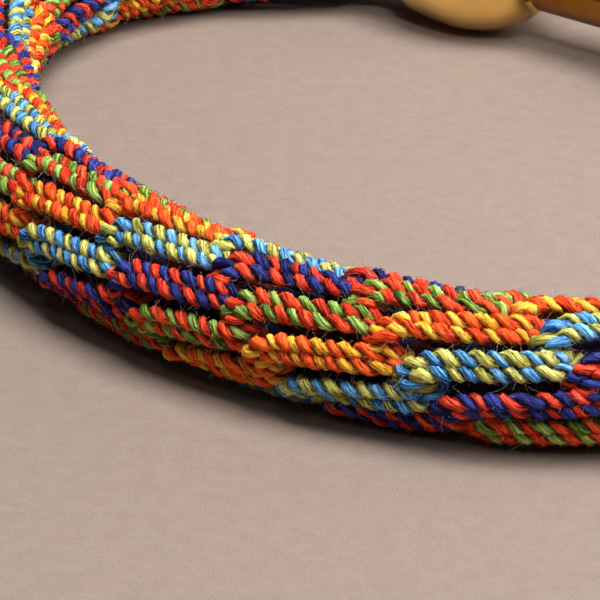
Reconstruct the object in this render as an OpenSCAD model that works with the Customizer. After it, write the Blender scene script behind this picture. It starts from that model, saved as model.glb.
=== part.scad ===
// Bracelet of eight cotton strands in a round braid, closed by two brass end caps and a plain clasp.
// It lies on its side as an oval on the XY plane. The origin is under the middle of the oval.
// X runs to the right, Y away from the viewer and Z up, in millimetres.

/* [Loop] */
// Half width of the oval, measured to the middle of the braid
oval_half_width = 24.3; // [24:0.1:28]
// Half length of the oval, measured to the middle of the braid
oval_half_length = 35.1; // [32:0.1:38]
// Turn of the oval's length away from the Y axis
oval_turn = 29; // [0:1:90]
// Share by which the oval swells and pulls in three times round
oval_swell = 0.012; // [0:0.002:0.02]
// Place of the first swell, as an angle from the oval's short axis
swell_at = -16; // [-60:1:60]
// Place of the clasp, as an angle from the oval's short axis
clasp_at = 33.5; // [20:0.5:50]

/* [Braid] */
// Thickness of a strand, as a share of the usual one
strand_fullness = 1; // [0.85:0.01:1]
// Length that the braid gains at each stage, when one pair of strands trades sides
stage_len = 1.59; // [1.57:0.01:1.65]
// Angle that a row climbs round the braid at each stage
row_climb = 2.7; // [2.4:0.1:3.2]
// Height of the braid's middle above the surface
braid_z = 3.88; // [3.88:0.01:4]
// Length along which the braid rises from the surface to the level of the caps
rise_len = 16; // [12:1:24]

/* [End caps] */
// Largest radius of a cap
cap_r = 4.7; // [4.6:0.05:5]
// Radius of a cap's open end
mouth_r = 4.45; // [4.4:0.05:4.5]
// Radius of a cap's narrow end
neck_r = 2.3; // [2.2:0.05:2.6]
// Radius of the cup that takes the braid
cup_r = 4; // [4:0.01:4.05]
// Distance along the oval from the clasp's place to the open end of the left cap
left_way = 8.5; // [8.4:0.1:9]
// Distance along the oval from the clasp's place to the open end of the right cap
right_way = 18; // [17.8:0.1:18.5]
// Distance from the middle of the clasp to a cap's narrow end
cap_start = 4.65; // [4.6:0.05:4.8]
// Distance from the middle of the clasp to the floor of a cup
cup_floor = 8.2; // [8:0.1:8.4]

/* [Clasp] */
// Radius of the barrel between the caps
barrel_r = 2.2; // [2:0.05:3]
// Length of the barrel
barrel_len = 8.4; // [8:0.1:8.6]
// Radius of the pin in each cap
pin_r = 1.4; // [1.2:0.05:1.4]
// Clearance round each pin
pin_gap = 0.1; // [0.05:0.01:0.15]
// Reach of each pin from the middle of the clasp
pin_reach = 7; // [6:0.1:7.5]

/* [Hidden] */

strand_colours = ["orangered", "skyblue", "midnightblue", "olivedrab"];
brass = "goldenrod";

// The braid has ten rows round it, of which eight hold a strand lying outside at any place
row_count = 10;
pair_count = 4;
row_turn = 360 / row_count;
stage_turn = row_turn - row_climb;
strand_sides = 5;

// Length over which the braid turns into a cap, and by how much its strands are squeezed there
bend_len = 9.5;
cap_squeeze = 0.14;

// Where the first pair's sweep stands: distance along the oval, and angle from the top towards the outside
lay_start = 5.64;
lay_angle = -140;

// One strand's route from one sweep to the next, pair_count stages on. Columns: stage, distance from the
// braid's middle, angle round it, radius of the strand.
STAGE = 0;
REACH = 1;
TURN = 2;
THICK = 3;
route = [
    [0.00, 3.22, 5, 0.58],      // sweeping over its neighbour's end
    [0.62, 3.02, -20, 0.75],    // start of the float
    [2.95, 2.84, -27, 0.75],    // end of the float
    [3.25, 2.70, -38, 0.46],    // turning in
    [3.76, 1.58, -64, 0.38],    // going round the middle
    [3.52, 1.58, -189, 0.38],   // leaving the middle
    [3.92, 2.88, -208, 0.45]    // rising between two rows
];

function oval_raw(t) =
    let (k = 1 + oval_swell * cos(3 * (t - swell_at)),
         x = oval_half_width * k * cos(t),
         y = oval_half_length * k * sin(t))
    [x * cos(oval_turn) - y * sin(oval_turn), x * sin(oval_turn) + y * cos(oval_turn)];

outline = [for (t = [0:1:359]) oval_raw(t)];
outline_x = [for (p = outline) p[0]];
outline_y = [for (p = outline) p[1]];
oval_middle = [(min(outline_x) + max(outline_x)) / 2, (min(outline_y) + max(outline_y)) / 2];

function oval(t) = oval_raw(t) - oval_middle;

// Distance from the clasp against the oval's angle, once round
oval_steps = 360;
function step_angle(i) = clasp_at + i * 360 / oval_steps;
way = [for (i = 0, s = 0; i <= oval_steps;
            s = s + norm(oval(step_angle(i + 1)) - oval(step_angle(i))), i = i + 1) [s, step_angle(i)]];
oval_len = way[oval_steps][0];

// The caps and the clasp lie on one straight line, whose ends meet the oval
mouth_left = oval(lookup(left_way, way));
mouth_right = oval(lookup(oval_len - right_way, way));
clasp_xy = (mouth_left + mouth_right) / 2;
clasp_dir = (mouth_left - mouth_right) / norm(mouth_left - mouth_right);
cap_end = norm(mouth_left - mouth_right) / 2;
cap_z = cap_r + 0.02;
loop_len = oval_len - left_way - right_way + 2 * cap_end;

function unit(v) = v / norm(v);
function ease(k) = let (c = max(0, min(1, k))) c * c * (3 - 2 * c);
function from_clasp(s) = min(s, loop_len - s);

// Middle of the braid at a distance s past the clasp: straight inside the caps, then bending into the oval
function spine_xy(s) =
    let (side = s < loop_len / 2 ? 1 : -1,
         share = ease((from_clasp(s) - cap_end) / bend_len))
    (1 - share) * (clasp_xy + side * from_clasp(s) * clasp_dir) +
    share * oval(lookup(s + left_way - cap_end, way));
function spine_heading(s) = unit(spine_xy(s + 0.2) - spine_xy(s - 0.2));
function spine_z(s) = braid_z + (cap_z - braid_z) * ease(1 - (from_clasp(s) - cap_end) / rise_len);

// A point beside the braid's middle, at an angle that is 0 on top and 90 on the outside of the loop
function beside(s, reach, turn) =
    let (p = spine_xy(s), d = spine_heading(s), out = reach * sin(turn))
    [p[0] + out * d[1], p[1] - out * d[0], spine_z(s) + reach * cos(turn)];

// Strands n and n + pair_count are a pair: the second starts on the other side of the braid
function pair_of(n) = n % pair_count;
function side_of(n) = floor(n / pair_count);
function station_s(n, i) =
    let (k = len(route), lap = floor(i / k))
    lay_start + cap_end - left_way + stage_len * (pair_of(n) + pair_count * lap + route[i - k * lap][STAGE]);
function station_turn(n, i) =
    let (k = len(route), lap = floor(i / k))
    lay_angle + stage_turn * (pair_of(n) + pair_count * lap) + 180 * side_of(n) + route[i - k * lap][TURN];
function station(n, i) =
    let (row = route[i - len(route) * floor(i / len(route))])
    beside(station_s(n, i), row[REACH], station_turn(n, i));
function station_r(n, i) =
    let (squeeze = cap_squeeze * ease(2 - (from_clasp(station_s(n, i)) - cap_end) / bend_len))
    strand_fullness * (1 - squeeze) * route[i - len(route) * floor(i / len(route))][THICK];

// The strand runs from cup to cup, and its ends lie clear of the cups' floors
end_room = cup_floor + 0.7;
last_lap = ceil(loop_len / (stage_len * pair_count));
function strand_stations(n) =
    [for (i = [-len(route):last_lap * len(route)])
        if (station_s(n, i) > end_room && station_s(n, i) < loop_len - end_room) i];

function along(p, i) =
    i == 0 ? unit(p[1] - p[0]) :
    i == len(p) - 1 ? unit(p[i] - p[i - 1]) :
    unit(unit(p[i] - p[i - 1]) + unit(p[i + 1] - p[i]));
function square_to(v, axis) = unit(v - (v * axis) * axis);

// Side vector of each ring, carried along the strand so that its faces don't twist
function carried(dirs) =
    [for (i = 0, v = square_to([0, 0, 1], dirs[0]); i < len(dirs);
          i = i + 1, v = i < len(dirs) ? square_to(v, dirs[i]) : v) v];

function ring_points(centre, dir, side, r) =
    let (across = cross(dir, side))
    [for (k = [0:strand_sides - 1])
        let (a = k * 360 / strand_sides) centre + r * (cos(a) * side + sin(a) * across)];

function tube_faces(rings) =
    let (m = strand_sides, last = (rings - 1) * m)
    concat(
        [[for (k = [0:m - 1]) k]],
        [for (j = [0:rings - 2]) for (k = [0:m - 1])
            [j * m + k, (j + 1) * m + k, (j + 1) * m + (k + 1) % m]],
        [for (j = [0:rings - 2]) for (k = [0:m - 1])
            [j * m + k, (j + 1) * m + (k + 1) % m, j * m + (k + 1) % m]],
        [[for (k = [m - 1:-1:0]) last + k]]);

module strand(n) {
    list = strand_stations(n);
    centres = [for (i = list) station(n, i)];
    dirs = [for (j = [0:len(centres) - 1]) along(centres, j)];
    sides = carried(dirs);
    points = [for (j = [0:len(centres) - 1])
        each ring_points(centres[j], dirs[j], sides[j], station_r(n, list[j]))];
    color(strand_colours[pair_of(n)])
        polyhedron(points = points, faces = tube_faces(len(centres)), convexity = 10);
}

// Puts its children at the clasp, with their Z axis through the left cap, or the right one for a side of -1
module at_clasp(side) {
    d = side * clasp_dir;
    translate([clasp_xy[0], clasp_xy[1], cap_z]) rotate([0, 90, atan2(d[1], d[0])]) children();
}

// Outer outline of a cap, from its narrow end to its open end, as a rounded bell
bell_steps = 14;
bell_len = cap_end - cap_start;
bell_peak = 0.62;
function bell_r(u) =
    u < bell_peak ? neck_r + (cap_r - neck_r) * pow(sin(90 * u / bell_peak), 0.7) :
    cap_r - (cap_r - mouth_r) * (1 - cos(90 * (u - bell_peak) / (1 - bell_peak)));

module end_cap(side) {
    color(brass) at_clasp(side) difference() {
        rotate_extrude($fn = 64) polygon(concat(
            [[0, cap_start]],
            [for (i = [0:bell_steps]) [bell_r(i / bell_steps), cap_start + bell_len * i / bell_steps]],
            [[0, cap_end]]));
        translate([0, 0, cup_floor]) cylinder(r = cup_r, h = cap_end - cup_floor + 1, $fn = 64);
        translate([0, 0, cap_start - 1]) cylinder(r = pin_r + pin_gap, h = cup_floor - cap_start + 2, $fn = 48);
    }
}

// A barrel with a pin on each side, turned from one piece
module clasp() {
    edge = 0.35;
    end = barrel_len / 2;
    color(brass) at_clasp(1) rotate_extrude($fn = 64) polygon([
        [0, -pin_reach], [pin_r, -pin_reach], [pin_r, -end], [barrel_r - edge, -end],
        [barrel_r, edge - end], [barrel_r, end - edge], [barrel_r - edge, end],
        [pin_r, end], [pin_r, pin_reach], [0, pin_reach]]);
}

strand(0);  // strand_1
strand(1);  // strand_2
strand(2);  // strand_3
strand(3);  // strand_4
strand(4);  // strand_5
strand(5);  // strand_6
strand(6);  // strand_7
strand(7);  // strand_8
end_cap(1);  // end_cap_left
end_cap(-1);  // end_cap_right
clasp();
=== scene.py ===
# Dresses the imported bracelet: eight two-coloured cotton yarns in a round braid, and brass end caps.
# Lengths in the dictionaries are in millimetres and angles in degrees. Blender's units are metres.
import math
import bpy
import numpy as np
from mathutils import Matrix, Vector


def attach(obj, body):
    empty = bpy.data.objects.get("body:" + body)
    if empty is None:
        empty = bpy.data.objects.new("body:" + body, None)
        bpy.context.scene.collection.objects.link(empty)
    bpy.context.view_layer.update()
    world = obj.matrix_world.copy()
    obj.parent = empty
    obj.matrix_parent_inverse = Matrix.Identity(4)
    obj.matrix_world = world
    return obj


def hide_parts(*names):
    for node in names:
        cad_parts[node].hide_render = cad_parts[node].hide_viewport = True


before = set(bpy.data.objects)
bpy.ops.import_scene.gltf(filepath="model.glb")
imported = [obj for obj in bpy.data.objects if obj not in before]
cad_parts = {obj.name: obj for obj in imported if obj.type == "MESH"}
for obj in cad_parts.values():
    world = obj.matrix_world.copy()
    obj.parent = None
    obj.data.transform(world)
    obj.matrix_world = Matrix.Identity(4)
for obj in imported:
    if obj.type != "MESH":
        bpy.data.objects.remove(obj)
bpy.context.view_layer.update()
mm = 0.001
print("frame loaded")


# Small helpers

def sinDeg(a):
    return np.sin(np.radians(a))


def cosDeg(a):
    return np.cos(np.radians(a))


def unit(v):
    return v / np.linalg.norm(v, axis=-1, keepdims=True)


def ease(k):
    k = np.clip(k, 0, 1)
    return k * k * (3 - 2 * k)


def linearColour(hexCode):
    # sRGB hex to the linear values that Blender's sockets take
    values = [int(hexCode[i:i + 2], 16) / 255 for i in (1, 3, 5)]
    linear = [v / 12.92 if v <= 0.04045 else ((v + 0.055) / 1.055) ** 2.4 for v in values]
    return (*linear, 1)


def addNode(tree, kind, inputs=None, **settings):
    # one node, with its settings, and its inputs as links or plain values
    node = tree.nodes.new(kind)
    for name, value in settings.items():
        setattr(node, name, value)
    for name, value in (inputs or {}).items():
        if isinstance(value, bpy.types.NodeSocket):
            tree.links.new(value, node.inputs[name])
        else:
            node.inputs[name].default_value = value
    return node


def rampColours(node, stops):
    # stops are pairs of a position and a hex colour
    ramp = node.color_ramp
    stops = list(stops)
    while len(ramp.elements) < len(stops):
        ramp.elements.new(1)
    for element, (position, hexCode) in zip(ramp.elements, stops):
        element.position = position
        element.color = linearColour(hexCode)


def newMaterial(name):
    material = bpy.data.materials.new(name)
    material.use_nodes = True
    tree = material.node_tree
    tree.nodes.clear()
    return material, tree


def newMesh(name, points, faces, materials, faceMaterials=None, attributes=None):
    # points in millimetres; attributes maps a name to one value or vector for each point
    mesh = bpy.data.meshes.new(name)
    mesh.from_pydata((np.asarray(points) * mm).tolist(), [], faces)
    for material in materials:
        mesh.materials.append(material)
    if faceMaterials is not None:
        mesh.polygons.foreach_set("material_index", np.asarray(faceMaterials, np.int32))
    for key, values in (attributes or {}).items():
        values = np.asarray(values, np.float32)
        kind, field = ("FLOAT_VECTOR", "vector") if values.ndim == 2 else ("FLOAT", "value")
        mesh.attributes.new(key, kind, "POINT").data.foreach_set(field, values.ravel())
    mesh.shade_smooth()
    mesh.update()
    piece = bpy.data.objects.new(name, mesh)
    bpy.context.scene.collection.objects.link(piece)
    return piece


# The camera stands where the photo was taken from, with a long lens

camera = {"aim": (-7.895, -15.756, 0.38), "distance": 245.26, "elevation": 23.43, "lens": 271.2}


def placeCamera():
    lens = bpy.data.cameras.new("camera")
    lens.sensor_width = 36
    lens.lens = camera["lens"]
    lens.clip_start = 0.01
    lens.clip_end = 20
    seat = bpy.data.objects.new("camera", lens)
    bpy.context.scene.collection.objects.link(seat)
    back = np.array([0, -cosDeg(camera["elevation"]), sinDeg(camera["elevation"])])
    seat.location = (np.array(camera["aim"]) + camera["distance"] * back) * mm
    seat.rotation_euler = (math.radians(90 - camera["elevation"]), 0, 0)
    bpy.context.scene.camera = seat


placeCamera()

# The middle line of the braid, as the solids have it

loop = {
    "halfWidth": 24.3, "halfLength": 35.1, "turn": 29,
    "swell": 0.012, "swellAt": -16,         # three faint swellings keep the oval from being too regular
    "claspAt": 33.5,        # on the oval, from its short axis
    "leftWay": 8.5,         # from there along the oval to the open ends of the caps
    "rightWay": 18,
    "braidHeight": 3.88, "riseLength": 16, "bendLength": 9.5,
}
cap = {
    # radii, and the places of its narrow end and its cup's floor along the line from the clasp's middle
    "largest": 4.7, "mouth": 4.45, "neck": 2.3, "cup": 4, "bore": 1.5, "start": 4.65, "cupFloor": 8.2,
    "peak": 0.62,           # place of the largest radius, as a share of the cap's length
    "roundness": 0.7,       # below 1, the cap swells sooner from its neck
    "lip": 0.16,            # rounding of the mouth's edges
    "clear": 0.02,          # height of the cap's underside
    "sides": 72, "steps": 28, "sharpAngle": 40,
}
capHeight = cap["largest"] + cap["clear"]


def ovalRaw(t):
    k = 1 + loop["swell"] * cosDeg(3 * (t - loop["swellAt"]))
    x = loop["halfWidth"] * k * cosDeg(t)
    y = loop["halfLength"] * k * sinDeg(t)
    c, s = cosDeg(loop["turn"]), sinDeg(loop["turn"])
    return np.stack([x * c - y * s, x * s + y * c], -1)


outline = ovalRaw(np.arange(360.0))
ovalMiddle = (outline.min(0) + outline.max(0)) / 2


def oval(t):
    return ovalRaw(t) - ovalMiddle


stepAngles = loop["claspAt"] + np.arange(361.0)
stepWay = np.concatenate([[0], np.cumsum(np.linalg.norm(np.diff(oval(stepAngles), axis=0), axis=1))])
ovalLength = stepWay[-1]


def ovalAt(way):
    return oval(np.interp(way, stepWay, stepAngles))


# The caps and the clasp lie on one straight line
mouthLeft = ovalAt(loop["leftWay"])
mouthRight = ovalAt(ovalLength - loop["rightWay"])
claspXY = (mouthLeft + mouthRight) / 2
capEnd = np.linalg.norm(mouthLeft - mouthRight) / 2
claspHeading = (mouthLeft - claspXY) / capEnd
loopLength = ovalLength - loop["leftWay"] - loop["rightWay"] + 2 * capEnd


def fromClasp(s):
    return np.minimum(s, loopLength - s)


def spineXY(s):
    # middle of the braid at distances s past the clasp: straight through the caps, then along the oval
    side = np.where(s < loopLength / 2, 1, -1)
    share = ease((fromClasp(s) - capEnd) / loop["bendLength"])[:, None]
    straight = claspXY + (side * fromClasp(s))[:, None] * claspHeading
    return (1 - share) * straight + share * ovalAt(s + loop["leftWay"] - capEnd)


def spine(s):
    rise = ease(1 - (fromClasp(s) - capEnd) / loop["riseLength"])
    z = loop["braidHeight"] + (capHeight - loop["braidHeight"]) * rise
    return np.concatenate([spineXY(s), z[:, None]], 1)


def beside(s, reach, turn):
    # points beside the braid's middle, at an angle that is 0 on top and 90 on the outside of the loop
    middle = spine(s)
    heading = unit(spineXY(s + 0.2) - spineXY(s - 0.2))
    out = reach * sinDeg(turn)
    return middle + np.stack([out * heading[:, 1], -out * heading[:, 0], reach * cosDeg(turn)], -1)


# The braid: ten rows round it, of which eight hold a strand lying outside at any place

braid = {
    "pairs": 4,
    "stageLength": 1.59,    # from one pair's sweep to the next pair's, along the braid
    "stageTurn": 36 - 2.7,  # and round it: one row, less the slant of the rows
    "start": 5.64,          # along the oval, where the first pair's sweep stands
    "startAngle": -140,
    "cupRoom": 0.7,         # the strands end this far above the cups' floors
    "squeeze": 0.14,        # share by which the caps squeeze the strands
    # one strand's route from one sweep to the next: stage, distance from the middle, angle, radius
    "route": [
        (-0.28, 2.30, 7, 0.80),     # rising between two rows
        (0.04, 3.00, -4, 0.83),     # sweeping over the end of the float ahead
        (0.55, 3.10, -17, 0.82),    # start of the float
        (1.50, 3.06, -22, 0.80),
        (2.60, 3.02, -25, 0.80),    # middle of the float
        (3.70, 2.98, -28, 0.79),
        (4.40, 2.84, -31, 0.78),    # end of the float
        (4.72, 2.30, -35, 0.76),    # diving behind the next sweep
        (4.55, 1.50, -60, 1.00),
        (4.10, 1.05, -120, 1.25),   # crossing the middle
        (3.75, 1.50, -185, 1.00),
    ],
    # slack yarn that fills the braid's middle, coloured near black as painted shade, which shows only as
    # darkness between the rows
    "slackReach": 1.25, "slackRadius": 0.95, "slackSides": 6, "slackGap": 0.9, "slackPitch": 40,
    "slackSeen": 0.6,       # cosine to the outward direction from which a side of it grows hairs
}


def capSqueeze(s):
    # share by which the braid is squeezed, which falls off outside the caps
    return braid["squeeze"] * ease(2 - (fromClasp(s) - capEnd) / loop["bendLength"])


def strandStations(pair, side):
    # the strand's stations from cup to cup: x, y, z, radius and the braid's middle beside it
    laps = math.ceil(loopLength / (braid["stageLength"] * braid["pairs"]))
    rows = [(pair + braid["pairs"] * lap, row) for lap in range(-2, laps + 1) for row in braid["route"]]
    stage = np.array([base + row[0] for base, row in rows])
    turn = np.array([base * braid["stageTurn"] + row[2] for base, row in rows])
    s = braid["start"] + capEnd - loop["leftWay"] + braid["stageLength"] * stage
    reach = np.array([row[1] for _, row in rows])
    radius = np.array([row[3] for _, row in rows]) * (1 - capSqueeze(s))
    room = cap["cupFloor"] + braid["cupRoom"]
    keep = (s > room) & (s < loopLength - room)
    points = beside(s, reach, braid["startAngle"] + turn + 180 * side)
    return np.concatenate([points, radius[:, None], spine(s)], 1)[keep]


def smoothThrough(stations, gap):
    # a smooth line through the stations, resampled at even steps
    # its pace goes by the root of the distance between stations, so it doesn't overshoot where they are close
    steps = np.linalg.norm(np.diff(stations[:, :3], axis=0), axis=1) ** 0.5
    t = np.concatenate([[0], np.cumsum(steps)])
    slope = np.diff(stations, axis=0) / steps[:, None]
    a, b = steps[:-1, None], steps[1:, None]
    middle = (slope[1:] * a + slope[:-1] * b) / (a + b)
    tangent = np.concatenate([slope[:1], middle, slope[-1:]])
    perStation = 16
    fine = np.linspace(0, t[-1], len(t) * perStation)
    i = np.clip(np.searchsorted(t, fine, side="right") - 1, 0, len(steps) - 1)
    h = steps[i][:, None]
    u = (fine - t[i])[:, None] / h
    line = ((2 * u ** 3 - 3 * u ** 2 + 1) * stations[i] + (u ** 3 - 2 * u ** 2 + u) * h * tangent[i]
            + (3 * u ** 2 - 2 * u ** 3) * stations[i + 1] + (u ** 3 - u ** 2) * h * tangent[i + 1])
    way = np.concatenate([[0], np.cumsum(np.linalg.norm(np.diff(line[:, :3], axis=0), axis=1))])
    even = np.linspace(0, way[-1], int(way[-1] / gap) + 1)
    return even, np.stack([np.interp(even, way, column) for column in line.T], -1)


def carriedFrames(points):
    # tangent and two side vectors of each ring, carried along without twist
    tangent = unit(np.gradient(points, axis=0))
    side = np.zeros_like(points)
    v = np.array([0, 0, 1.0])
    for k, d in enumerate(tangent):
        v = v - np.dot(v, d) * d
        v = v / np.linalg.norm(v)
        side[k] = v
    return tangent, side, np.cross(tangent, side)


def slackTube(number):
    # rings of one strand's slack yarn, and their places along the braid
    room = cap["cupFloor"] + 2 * braid["cupRoom"]
    s = np.arange(room, loopLength - room, braid["slackGap"])
    middle = beside(s, np.full(len(s), braid["slackReach"]), 45 * number + 360 * s / braid["slackPitch"])
    _, side, across = carriedFrames(middle)
    sides = braid["slackSides"]
    a = np.radians(np.arange(sides) * 360 / sides)[None, :, None]
    out = np.cos(a) * side[:, None] + np.sin(a) * across[:, None]
    radius = braid["slackRadius"] * (1 - capSqueeze(s))
    return middle[:, None] + radius[:, None, None] * out, s


def drift(way, wander, rng):
    # a slow random wander: by how much at most, and over what length in millimetres
    amount, step = wander
    knots = rng.uniform(-1, 1, int(way[-1] / step) + 3)
    x = way / step
    i = x.astype(int)
    return amount * (knots[i] + (knots[i + 1] - knots[i]) * ease(x - i))


# Spun cotton: matt, dyed fibres that run along each thread, with darker dye between them

# each strand is two yarns side by side, and each yarn is two plies of different colours twisted together
yarn = {
    "seed": 100,
    "lineGap": 0.05,        # the strand's line is worked out at places this far apart
    "apart": 0.35,          # distance of the two yarns' middles from the strand's middle
    "parting": 0.5,         # share by which they lie further apart in the braid's middle
    "lift": 0.24,           # the flat pair lies this much further out than the round solid's middle
    "surfaces": 2,          # distance from the braid's middle where a strand begins to do so
    "seenReach": 2.1,       # distance from the braid's middle from which it is made finely, and grows hairs
    "plyRing": 0.21,        # distance of the plies' middles from their yarn's middle
    "plyRadius": 0.282,
    "fullRadius": 0.78,     # radius of the strand at which the sizes above hold
    "pitch": 1.55,          # length of one full turn of the plies
    "lumps": 0.014,         # height of the lumps on a ply
    "paintedCrestHighlight": 0.5,           # painted highlight and shade: by how many tones a ply is paler along its outermost line and darker on its hidden side
    # what wanders along a strand: by how much at most, and over what length
    "lean": (32, 5),        # degrees by which the pair leans
    "spacing": (0.08, 3),   # share by which its two yarns lie closer or further apart
    "twist": (1.7, 2.3),    # radians by which the plies are ahead or behind
    "fullness": (0.3, 1.4),         # share by which one ply is fuller and the other slimmer
    "thickness": (0.07, 0.6),
    "dye": (1, 3),          # tones
    # painted shade: fibres are painted darker towards a middle, where little light reaches: share, distance from
    # it where that begins, and over what distance
    "braidShade": (0.85, 3.1, 0.9),
    "yarnShade": (0.75, 0.44, 0.26),
    "fibreTurn": 1.1,       # radians that a fibre turns round its ply in each millimetre
    "fibreSpacing": 0.1,    # real fibres are 0.015 apart, too fine to show, so they are drawn coarser
    "ownStreaks": 500,      # plies take their streaks this far apart, so no two look alike
    # each ply's section, as angles from its outward side: dense there and sparse where it is hidden
    "section": [0, 48, 112, 248, 312],
    # distance between a ply's rings where it faces out, where it faces in, and in the braid's middle
    "outerGap": 0.18, "innerGap": 0.42, "hiddenGap": 1.0,
    "turnedAway": -0.3,     # cosine to the outward direction below which a side is hidden
    "floorGap": 0.02,       # the yarn is flattened to this height where it rests on the surface
}
threads = {
    # each thread's dye from the shaded fibres to the pale ones
    "redOrange": ["#8C1404", "#F2400E", "#FF7426"],
    "goldenYellow": ["#B85008", "#FCB024", "#FFD858"],
    "skyBlue": ["#0E3468", "#3A86C8", "#8CC8EC"],
    "limeCream": ["#545418", "#B8B44A", "#E6E08C"],
    "violetNavy": ["#060418", "#1A1C60", "#3E4CA8"],
    "scarlet": ["#6C0C0A", "#E02816", "#FF6440"],
    "leafGreen": ["#28400C", "#72942C", "#B0CC6C"],
    "rustRed": ["#7E1208", "#E62E10", "#FF6A34"],
}
# the two threads that take turns as plies of each strand, and how full each of them is
strandThreads = [
    [("redOrange", 1.1), ("goldenYellow", 0.9)],
    [("limeCream", 1.05), ("skyBlue", 0.95)],
    [("violetNavy", 1.02), ("scarlet", 0.98)],
    [("leafGreen", 0.98), ("rustRed", 1.02)],
]
slackShadeTones = {
    # the slack yarn's cottons, near black as painted shade
    "slackRedPaintedShade": ["#12060A", "#34100C", "#642218"],
    "slackBluePaintedShade": ["#08070E", "#12122C", "#262854"],
}
cotton = {
    "alongFibre": 1.3,      # changes in a streak for each millimetre along it
    "streaks": (3, -1.2),   # contrast of the streaks, and what is added to bring them to the middle tone
    "blotchesPerMm": 1.1,   # blotches of uneven dye in each millimetre
    "blotches": 0.5,        # their contrast
    "toneShare": 0.16,      # how far along the colours one tone moves a fibre
    "stops": (0.2, 0.52, 0.95),
    "paintedShadeColour": "#260B06",      # painted shade colour, mixed in where fibres lie deep between the threads and the strands, which get little light
    "paintedLightColour": "#F0DFC4", "paintedLightShare": 0.72,       # painted light: loose fibres are mixed this much with a pale colour, where they catch the light
    "streakDepth": 0.07, "roughness": 0.8, "specular": 0.25,
}


def spunCotton(name, tones, paintedLightShare=0):
    # the eye sees fine dark and pale streaks along each thread, and no gloss
    material, tree = newMaterial(name)
    fibre = addNode(tree, "ShaderNodeAttribute", attribute_name="fibre")
    tone = addNode(tree, "ShaderNodeAttribute", attribute_name="tone")
    perFibre = 1 / yarn["fibreSpacing"]
    stretched = addNode(tree, "ShaderNodeVectorMath", {
        0: fibre.outputs["Vector"], 1: (cotton["alongFibre"], perFibre, perFibre)}, operation="MULTIPLY")
    streaks = addNode(tree, "ShaderNodeTexNoise", {
        "Vector": stretched.outputs[0], "Scale": 1, "Detail": 3, "Roughness": 0.6})
    blotches = addNode(tree, "ShaderNodeTexNoise", {
        "Vector": fibre.outputs["Vector"], "Scale": cotton["blotchesPerMm"], "Detail": 2})
    contrast, base = cotton["streaks"]
    streaked = addNode(tree, "ShaderNodeMath", {0: streaks.outputs["Fac"], 1: contrast, 2: base},
                       operation="MULTIPLY_ADD")
    spread = addNode(tree, "ShaderNodeMath", {
        0: blotches.outputs["Fac"], 1: cotton["blotches"], 2: streaked.outputs[0]}, operation="MULTIPLY_ADD")
    dyed = addNode(tree, "ShaderNodeMath", {
        0: tone.outputs["Fac"], 1: cotton["toneShare"], 2: spread.outputs[0]}, operation="MULTIPLY_ADD")
    ramp = addNode(tree, "ShaderNodeValToRGB", {"Fac": dyed.outputs[0]})
    rampColours(ramp, zip(cotton["stops"], tones))
    # painted shade: the shade attribute mixes in the dark painted shade colour
    shade = addNode(tree, "ShaderNodeAttribute", attribute_name="shade")
    colour = addNode(tree, "ShaderNodeMix", {
        "Factor": shade.outputs["Fac"], "A": ramp.outputs["Color"], "B": linearColour(cotton["paintedShadeColour"])},
        data_type="RGBA").outputs["Result"]
    # painted light: loose fibres get a paler copy of the dyes
    if paintedLightShare:
        colour = addNode(tree, "ShaderNodeMix", {
            "Factor": paintedLightShare, "A": colour, "B": linearColour(cotton["paintedLightColour"])},
            data_type="RGBA").outputs["Result"]
    bump = addNode(tree, "ShaderNodeBump", {
        "Height": streaks.outputs["Fac"], "Strength": 1, "Distance": cotton["streakDepth"] * mm})
    surface = addNode(tree, "ShaderNodeBsdfPrincipled", {
        "Base Color": colour, "Roughness": cotton["roughness"], "Normal": bump.outputs["Normal"],
        "Specular IOR Level": cotton["specular"]})
    addNode(tree, "ShaderNodeOutputMaterial", {"Surface": surface.outputs["BSDF"]})
    return material


dyedCotton = {name: spunCotton("spunCotton_" + name, tones) for name, tones in threads.items()}
slackShadeCotton = [spunCotton(name, tones) for name, tones in slackShadeTones.items()]
# paler copies of the dyes for the loose fibres, as painted light
looseCotton = {name: spunCotton("looseFibre_" + name, tones, cotton["paintedLightShare"])
               for name, tones in threads.items()}
print("cotton materials made")


def tubeFaces(rings, sides, first):
    j = np.arange(rings - 1)[:, None] * sides
    k = np.arange(sides)[None, :]
    after = (k + 1) % sides
    quads = np.stack([j + k, j + sides + k, j + sides + after, j + after], -1).reshape(-1, 4) + first
    ends = [list(range(first, first + sides)),
            list(range(first + rings * sides - 1, first + (rings - 1) * sides - 1, -1))]
    return quads.tolist() + ends


# The mesh of a strand is its skein: materials 0 and 1 are its dyed plies, 2 and 3 their loose fibres, painted
# paler as light, and 4 and 5 the slack yarn, near black as painted shade

def addPart(skein, points, faces, faceMaterials, fibre, tone, shade):
    # one ply, slack tube or set of hairs joins the skein
    points = points.reshape(-1, 3)
    skein["count"] += len(points)
    skein["points"].append(points)
    skein["faces"] += faces
    skein["faceMaterials"] += faceMaterials
    skein["fibre"].append(fibre.reshape(-1, 3))
    skein["tone"].append(tone.ravel())
    skein["shade"].append(shade.ravel())


def paintedShadeNear(distance, shade):
    # painted shade: how much darker the fibres are painted that lie near a middle, where little light reaches
    share, start, span = shade
    return share * ease((start - distance) / span)


def chosenRings(way, gaps):
    # places along a ply where its rings stand, given the distance wanted between them at each place
    count = np.cumsum(np.gradient(way) / gaps)
    return np.concatenate([[0], np.nonzero(np.diff(np.floor(count)) > 0)[0] + 1, [len(way) - 1]])


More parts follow.
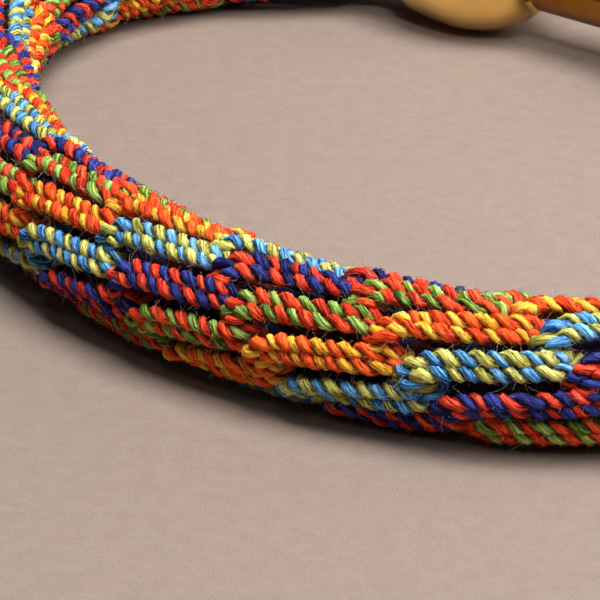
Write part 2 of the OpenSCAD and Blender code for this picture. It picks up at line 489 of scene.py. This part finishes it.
def twistedPlies(way, middle, size, frames, rng):
    # the middles and radii of one yarn's two plies
    _, side, across = frames
    angle = 2 * math.pi * (way / yarn["pitch"] + rng.random()) + drift(way, yarn["twist"], rng)
    out = np.cos(angle)[:, None] * side + np.sin(angle)[:, None] * across
    fuller = drift(way, yarn["fullness"], rng)
    for sign in (1, -1):
        ring = sign * yarn["plyRing"] * size * (1 - sign * fuller)
        radius = yarn["plyRadius"] * size * (1 + sign * fuller) * (1 + drift(way, yarn["thickness"], rng))
        yield middle + ring[:, None] * out, radius


def layPly(strand, skein, owner, key, yarnMiddle, middle, radius, rng):
    # one ply's skin, and the places for hairs on the outside of its yarn and of the braid
    way, reach, outward = strand["way"], strand["reach"], strand["outward"]
    tone = drift(way, yarn["dye"], rng)
    heading = unit(np.gradient(middle, axis=0))
    out = unit(middle - yarnMiddle)
    gaps = np.where((out * outward).sum(1) > yarn["turnedAway"], yarn["outerGap"], yarn["innerGap"])
    gaps = np.where(reach > yarn["seenReach"], gaps, yarn["hiddenGap"])
    at = chosenRings(way, gaps)
    out, heading = out[at], heading[at]
    out = unit(out - (out * heading).sum(1)[:, None] * heading)
    section = np.radians(yarn["section"])
    c, s = np.cos(section)[None, :, None], np.sin(section)[None, :, None]
    normal = c * out[:, None] + s * np.cross(heading, out)[:, None]
    uneven = radius[at][:, None] + rng.uniform(-yarn["lumps"], yarn["lumps"], (len(at), len(section)))
    rings = middle[at][:, None] + uneven[..., None] * normal
    turned = section[None] + yarn["fibreTurn"] * way[at][:, None]
    along = np.broadcast_to(way[at][:, None] + yarn["ownStreaks"] * key, turned.shape)
    fibre = np.stack([along, yarn["plyRadius"] * np.cos(turned), yarn["plyRadius"] * np.sin(turned)], -1)
    # painted shade: fibres near the braid's middle and near their yarn's middle are darkened
    fromBraid = np.linalg.norm(rings - strand["braidMiddle"][at][:, None], axis=2)
    fromYarn = np.linalg.norm(rings - yarnMiddle[at][:, None], axis=2) / strand["size"][at][:, None]
    shade = np.maximum(paintedShadeNear(fromBraid, yarn["braidShade"]), paintedShadeNear(fromYarn, yarn["yarnShade"]))
    faces = tubeFaces(len(at), len(section), skein["count"])
    # painted highlight: the tone adds the crest along the ply's outermost line to the ply's random dye
    addPart(skein, rings, faces, [owner] * len(faces), fibre,
            tone[at][:, None] + yarn["paintedCrestHighlight"] * np.cos(section), shade)
    facing = (normal * outward[at][:, None]).sum(2)
    seen = (facing > yarn["turnedAway"]) & (c[..., 0] > yarn["turnedAway"])
    seen &= reach[at][:, None] > yarn["seenReach"]
    tangents = np.broadcast_to(heading[:, None], rings.shape)
    skein["places"].append((rings[seen], normal[seen], tangents[seen], np.full(seen.sum(), owner), facing[seen]))


def layYarns(strand, skein, rng):
    # the strand's two yarns, side by side, of two plies each
    way, reach, size, tangent = strand["way"], strand["reach"], strand["size"], strand["frames"][0]
    lean = drift(way, yarn["lean"], rng)
    flat = unit(np.cross(tangent, strand["outward"]))
    sideways = cosDeg(lean)[:, None] * flat + sinDeg(lean)[:, None] * np.cross(tangent, flat)
    lift = yarn["lift"] * ease(reach - yarn["surfaces"])
    parting = 1 + yarn["parting"] * ease(yarn["surfaces"] - reach)
    for sign in (1, -1):
        apart = sign * yarn["apart"] * size * (1 + drift(way, yarn["spacing"], rng)) * parting
        yarnMiddle = strand["middle"] + lift[:, None] * strand["outward"] + apart[:, None] * sideways
        for owner, (middle, radius) in enumerate(twistedPlies(way, yarnMiddle, size, strand["frames"], rng)):
            radius = radius * strandThreads[strand["number"] % braid["pairs"]][owner][1]
            key = strand["number"] + 2 * braid["pairs"] * (owner + 2 * (sign > 0))      # each ply has its own
            layPly(strand, skein, owner, key, yarnMiddle, middle, radius, rng)


def laySlack(strand, skein, rng):
    # the strand's share of the slack yarn, in stripes of its two near-black painted-shade cottons, three faces
    # wide
    rings, s = slackTube(strand["number"])
    sides = braid["slackSides"]
    faces = tubeFaces(len(rings), sides, skein["count"])
    stripes = [4 + (face // sides + face % sides) // 3 % 2 for face in range(len(faces))]
    plain = np.zeros(rings.shape[:2])
    addPart(skein, rings, faces, stripes, rings, plain, plain)
    normal = unit(rings - rings.mean(1, keepdims=True))
    seen = (normal * unit(rings - spine(s)[:, None])).sum(2) > braid["slackSeen"]
    tangents = unit(np.gradient(rings, axis=0))
    skein["places"].append((rings[seen], normal[seen], tangents[seen], rng.integers(0, 2, seen.sum()),
                            np.full(seen.sum(), fuzz["slackFacing"])))


# Loose fibres: short fine curled hairs that cling to the yarn or stand a little off it

fuzz = {
    # on each strand: how many, their length, radius and steps, how they leave the yarn as shares of its outward
    # direction, of a random one and of the thread's, the radians they curl through, how they hug the yarn,
    # how thickly they grow on its outside, beside the gaps and on the slack yarn, and their first material
    "clinging": {"hairs": 3300, "length": (0.3, 0.8), "radius": 0.02, "steps": 2, "leaves": (0.12, 0.15, 1),
                 "curl": (0.8, 1.8), "hug": 1.2, "outside": 1, "inGaps": 0.5, "onSlack": 0, "material": 0},
    "loose": {"hairs": 2300, "length": (0.3, 1.2), "radius": 0.009, "steps": 3, "leaves": (1, 0.8, 0.5),
              "curl": (1.0, 4.2), "hug": 0, "outside": 0.1, "inGaps": 0.6, "onSlack": 14, "material": 2},
    "gapFacing": 0.35,      # cosine to the outward direction below which a place is beside a gap
    "slackFacing": -1.0,    # the mark of a place on the slack yarn
    "straight": 0.55,       # share of a hair's length that runs on straight while the rest curls
    "slackening": 1.4,      # the rest is made this much shorter
    "taper": 0.6,           # share of its thickness that a hair loses towards its tip
    "nudge": 0.3,           # keeps the sides of a straight hair apart
    "tones": (-2, 3),       # hairs are darker or paler than their thread by up to this many tones
    "places": 50,           # and take their streaks from a stretch of this length
}


def hairFaces(steps, count, first):
    # each hair has a closed root, three sides and a point
    side = [[3 * k + j, 3 * k + 3 + j, 3 * k + 3 + (j + 1) % 3, 3 * k + (j + 1) % 3]
            for k in range(steps - 1) for j in range(3)]
    tip = [[3 * steps - 3 + j, 3 * steps, 3 * steps - 3 + (j + 1) % 3] for j in range(3)]
    perHair = [[0, 1, 2]] + side + tip
    return [[first + hair * (3 * steps + 1) + corner for corner in face]
            for hair in range(count) for face in perHair]


def makeHairs(kind, roots, normals, tangents, rng):
    # the points of one fine, tapering, curled hair for each root
    count = len(roots)
    anyWay = unit(rng.normal(size=(count, 3)))
    alongThread = tangents * rng.choice([-1, 1], (count, 1))
    a, b, c = kind["leaves"]
    start = unit(a * normals + b * anyWay + c * alongThread)
    around = anyWay if kind["hug"] else unit(rng.normal(size=(count, 3)))
    curl = unit(np.cross(start, around) - kind["hug"] * normals)
    shortest, longest = kind["length"]
    length = (shortest + (longest - shortest) * rng.random(count) ** 2)[:, None]
    bend = rng.uniform(*kind["curl"], (count, 1))
    u = np.linspace(0, 1, kind["steps"] + 1)
    middles = np.stack([roots + length * (fuzz["straight"] * k * start
                                          + ((1 - np.cos(bend * k)) * curl + np.sin(bend * k) * start)
                                          / bend / fuzz["slackening"]) for k in u], 1)
    along = unit(np.gradient(middles, axis=1))
    first = unit(np.cross(along, curl[:, None] + fuzz["nudge"] * anyWay[:, None]))
    second = np.cross(along, first)
    thickness = kind["radius"] * (1 - fuzz["taper"] * u)[None, :, None]
    rings = [middles + thickness * (cosDeg(a) * first + sinDeg(a) * second) for a in (0, 120, 240)]
    body = np.stack(rings, 2)[:, :-1].reshape(count, -1, 3)
    return np.concatenate([body, middles[:, -1:]], 1)


def growHairs(skein, rng):
    # both kinds of hairs, on places chosen from all those of the skein
    roots, normals, tangents, owners, facings = (np.concatenate(values) for values in zip(*skein["places"]))
    for kind in (fuzz["clinging"], fuzz["loose"]):
        count = kind["hairs"]
        weights = np.where(facings < fuzz["gapFacing"], kind["inGaps"], kind["outside"])
        weights = np.where(facings == fuzz["slackFacing"], kind["onSlack"], weights)
        chosen = rng.choice(len(roots), count, replace=False, p=weights / weights.sum())
        hairs = makeHairs(kind, roots[chosen], normals[chosen], tangents[chosen], rng)
        faces = hairFaces(kind["steps"], count, skein["count"])
        hairMaterials = np.repeat(owners[chosen] + kind["material"], len(faces) // count).tolist()
        perHair = hairs.shape[1]
        fibre = np.stack([rng.uniform(0, fuzz["places"], count * perHair), *np.zeros((2, count * perHair))], -1)
        tone = np.repeat(rng.uniform(*fuzz["tones"], count), perHair)
        addPart(skein, hairs, faces, hairMaterials, fibre, tone, np.zeros(count * perHair))


def makeStrand(number):
    pair, side = number % braid["pairs"], number // braid["pairs"]
    rng = np.random.default_rng(yarn["seed"] + number)
    way, line = smoothThrough(strandStations(pair, side), yarn["lineGap"])
    outward = line[:, :3] - line[:, 4:]
    reach = np.linalg.norm(outward, axis=1)
    strand = {"number": number, "way": way, "middle": line[:, :3], "braidMiddle": line[:, 4:],
              "frames": carriedFrames(line[:, :3]), "outward": outward / reach[:, None], "reach": reach,
              "size": line[:, 3] / yarn["fullRadius"]}
    skein = {"count": 0, "points": [], "faces": [], "faceMaterials": [], "fibre": [], "tone": [], "shade": [],
             "places": []}
    layYarns(strand, skein, rng)
    laySlack(strand, skein, rng)
    growHairs(skein, rng)
    points = np.concatenate(skein["points"])
    points[:, 2] = np.maximum(points[:, 2], yarn["floorGap"])
    names = [name for name, _ in strandThreads[pair]]
    materials = [dyedCotton[name] for name in names] + [looseCotton[name] for name in names] + slackShadeCotton
    attributes = {key: np.concatenate(skein[key]) for key in ("fibre", "tone", "shade")}
    piece = newMesh(f"yarn_{number + 1}", points, skein["faces"], materials, skein["faceMaterials"], attributes)
    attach(piece, "root")
    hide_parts(f"strand_{number + 1}")
    print(piece.name, "laid with", len(skein["faces"]), "faces")


for number in range(2 * braid["pairs"]):
    makeStrand(number)

# Brass, turned and polished: warm mirror-like glints, softened by fine scratches

brassLook = {
    "polished": ["#F6CC74", "#FFDC8C"],
    "darkBrown": ["#8A561A", "#A06E2C"],         # the clasp's brass is darker and browner than the caps'
    "stops": (0.35, 0.65),
    "scratch": 0.4,         # length of a polishing scratch; real ones are finer, and wouldn't show
    "tarnish": 3.846,       # size of a patch of tarnish
    "roughness": (0.15, 0.2),
    "scratchDepth": 0.006,
}


def turnedBrass(name, tones):
    material, tree = newMaterial(name)
    place = addNode(tree, "ShaderNodeTexCoord")
    scratches = addNode(tree, "ShaderNodeTexNoise", {
        "Vector": place.outputs["Object"], "Scale": 1 / (brassLook["scratch"] * mm), "Detail": 4})
    tarnish = addNode(tree, "ShaderNodeTexNoise", {
        "Vector": place.outputs["Object"], "Scale": 1 / (brassLook["tarnish"] * mm), "Detail": 3})
    ramp = addNode(tree, "ShaderNodeValToRGB", {"Fac": tarnish.outputs["Fac"]})
    rampColours(ramp, zip(brassLook["stops"], tones))
    smoothest, roughest = brassLook["roughness"]
    rough = addNode(tree, "ShaderNodeMapRange", {
        "Value": scratches.outputs["Fac"], "To Min": smoothest, "To Max": roughest})
    bump = addNode(tree, "ShaderNodeBump", {
        "Height": scratches.outputs["Fac"], "Strength": 0.08, "Distance": brassLook["scratchDepth"] * mm})
    surface = addNode(tree, "ShaderNodeBsdfPrincipled", {
        "Base Color": ramp.outputs["Color"], "Metallic": 1, "Roughness": rough.outputs["Result"],
        "Normal": bump.outputs["Normal"]})
    addNode(tree, "ShaderNodeOutputMaterial", {"Surface": surface.outputs["BSDF"]})
    return material


polishedBrass = turnedBrass("polishedBrass", brassLook["polished"])
darkBrownBrass = turnedBrass("darkBrownBrass", brassLook["darkBrown"])


def bellRadius(u):
    # the cap swells from its neck to its largest radius, and draws in a little towards its mouth
    up = np.minimum(u / cap["peak"], 1)
    down = np.maximum(u - cap["peak"], 0) / (1 - cap["peak"])
    swelling = (cap["largest"] - cap["neck"]) * np.sin(np.pi / 2 * up) ** cap["roundness"]
    return cap["neck"] + swelling - (cap["largest"] - cap["mouth"]) * (1 - cosDeg(90 * down))


def capProfile():
    # closed section of a cap, as distance along it and radius
    u = np.linspace(0, 1, cap["steps"])
    length = capEnd - cap["start"]
    outside = [(cap["start"] + length * k, r) for k, r in zip(u, bellRadius(u))]
    lip = cap["lip"]
    outside[-1] = (capEnd - lip, cap["mouth"])
    rim = [(capEnd, cap["mouth"] - lip), (capEnd, cap["cup"] + lip), (capEnd - lip, cap["cup"])]
    inside = [(cap["cupFloor"], cap["cup"]), (cap["cupFloor"], cap["bore"]), (cap["start"], cap["bore"])]
    return np.array(outside + rim + inside)


def makeCap(node, direction):
    profile = capProfile()
    turns = np.arange(cap["sides"]) * 360 / cap["sides"]
    along, radius = profile[:, 0][:, None], profile[:, 1][:, None]
    out = radius * sinDeg(turns)
    x = claspXY[0] + along * direction[0] - out * direction[1]
    y = claspXY[1] + along * direction[1] + out * direction[0]
    z = capHeight + radius * cosDeg(turns) + 0 * along
    points = np.stack(np.broadcast_arrays(x, y, z), -1).reshape(-1, 3)
    rows, sides = len(profile), cap["sides"]
    faces = [[(j % rows) * sides + k, ((j + 1) % rows) * sides + k,
              ((j + 1) % rows) * sides + (k + 1) % sides, (j % rows) * sides + (k + 1) % sides]
             for j in range(rows) for k in range(sides)]
    piece = newMesh(node + "_turned", points, faces, [polishedBrass])
    piece.data.set_sharp_from_angle(angle=math.radians(cap["sharpAngle"]))
    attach(piece, "root")
    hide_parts(node)


makeCap("end_cap_left", claspHeading)
makeCap("end_cap_right", -claspHeading)
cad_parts["clasp"].material_slots[0].material = darkBrownBrass
print("brass made")

# Plain pale floor and soft studio light

studio = {
    "floor": [(0.3, "#7A695F"), (0.5, "#87766B"), (0.7, "#918176")],
    "grain": 0.12, "mottle": 1.08,      # sizes of the paper's grain and of its faint mottling
    "mottleShare": 0.35, "grainDepth": 0.06,
    "floorHalf": 1500,
    "world": "#E6E8EC", "worldStrength": 0.07,
}
lights = {
    # place, size and power
    "key": ((50, -60, 270), 190, 1.45),         # a broad box above
    "fill": ((300, -260, 300), 180, 0.75),      # a fainter one at the right front
    "glow": ((150, 40, 100), 120, 0.12),        # a faint one at the far right
}
# a soft pool of light round the clasp
claspSpot = {"place": (20, -200, 220), "aim": (23, 31, 0), "radius": 40, "cone": 13, "power": 4}
bpy.context.scene.view_settings.view_transform = "Standard"


def makeFloor():
    # matt stone-coloured paper: faint mottling and a fine grain
    material, tree = newMaterial("mattPaper")
    place = addNode(tree, "ShaderNodeTexCoord")
    grain = addNode(tree, "ShaderNodeTexNoise", {
        "Vector": place.outputs["Object"], "Scale": 1 / (studio["grain"] * mm), "Detail": 3})
    mottle = addNode(tree, "ShaderNodeTexNoise", {
        "Vector": place.outputs["Object"], "Scale": 1 / (studio["mottle"] * mm), "Detail": 4, "Roughness": 0.65})
    mixed = addNode(tree, "ShaderNodeMix", {
        "Factor": studio["mottleShare"], "A": grain.outputs["Fac"], "B": mottle.outputs["Fac"]})
    ramp = addNode(tree, "ShaderNodeValToRGB", {"Fac": mixed.outputs["Result"]})
    rampColours(ramp, studio["floor"])
    bump = addNode(tree, "ShaderNodeBump", {
        "Height": mixed.outputs["Result"], "Strength": 0.3, "Distance": studio["grainDepth"] * mm})
    surface = addNode(tree, "ShaderNodeBsdfPrincipled", {
        "Base Color": ramp.outputs["Color"], "Roughness": 0.9, "Normal": bump.outputs["Normal"]})
    addNode(tree, "ShaderNodeOutputMaterial", {"Surface": surface.outputs["BSDF"]})
    half = studio["floorHalf"]
    corners = [(-half, -half, 0), (half, -half, 0), (half, half, 0), (-half, half, 0)]
    floor = newMesh("floor", corners, [[0, 1, 2, 3]], [material])


def hangLamp(lamp, place, aim):
    seat = bpy.data.objects.new(lamp.name, lamp)
    seat.location = np.array(place) * mm
    away = Vector(np.subtract(place, aim))
    seat.rotation_euler = away.to_track_quat("Z", "Y").to_euler()
    bpy.context.scene.collection.objects.link(seat)


def makeLights():
    world = bpy.data.worlds.new("studio")
    world.use_nodes = True
    background = world.node_tree.nodes["Background"]
    background.inputs["Color"].default_value = linearColour(studio["world"])
    background.inputs["Strength"].default_value = studio["worldStrength"]
    bpy.context.scene.world = world
    for name, (place, size, power) in lights.items():
        lamp = bpy.data.lights.new(name, "AREA")
        lamp.size = size * mm
        lamp.energy = power
        hangLamp(lamp, place, (0, 0, 0))
    lamp = bpy.data.lights.new("claspSpot", "SPOT")
    lamp.shadow_soft_size = claspSpot["radius"] * mm
    lamp.spot_size = math.radians(claspSpot["cone"])
    lamp.spot_blend = 1
    lamp.energy = claspSpot["power"]
    hangLamp(lamp, claspSpot["place"], claspSpot["aim"])


makeFloor()
makeLights()
print("studio lit")
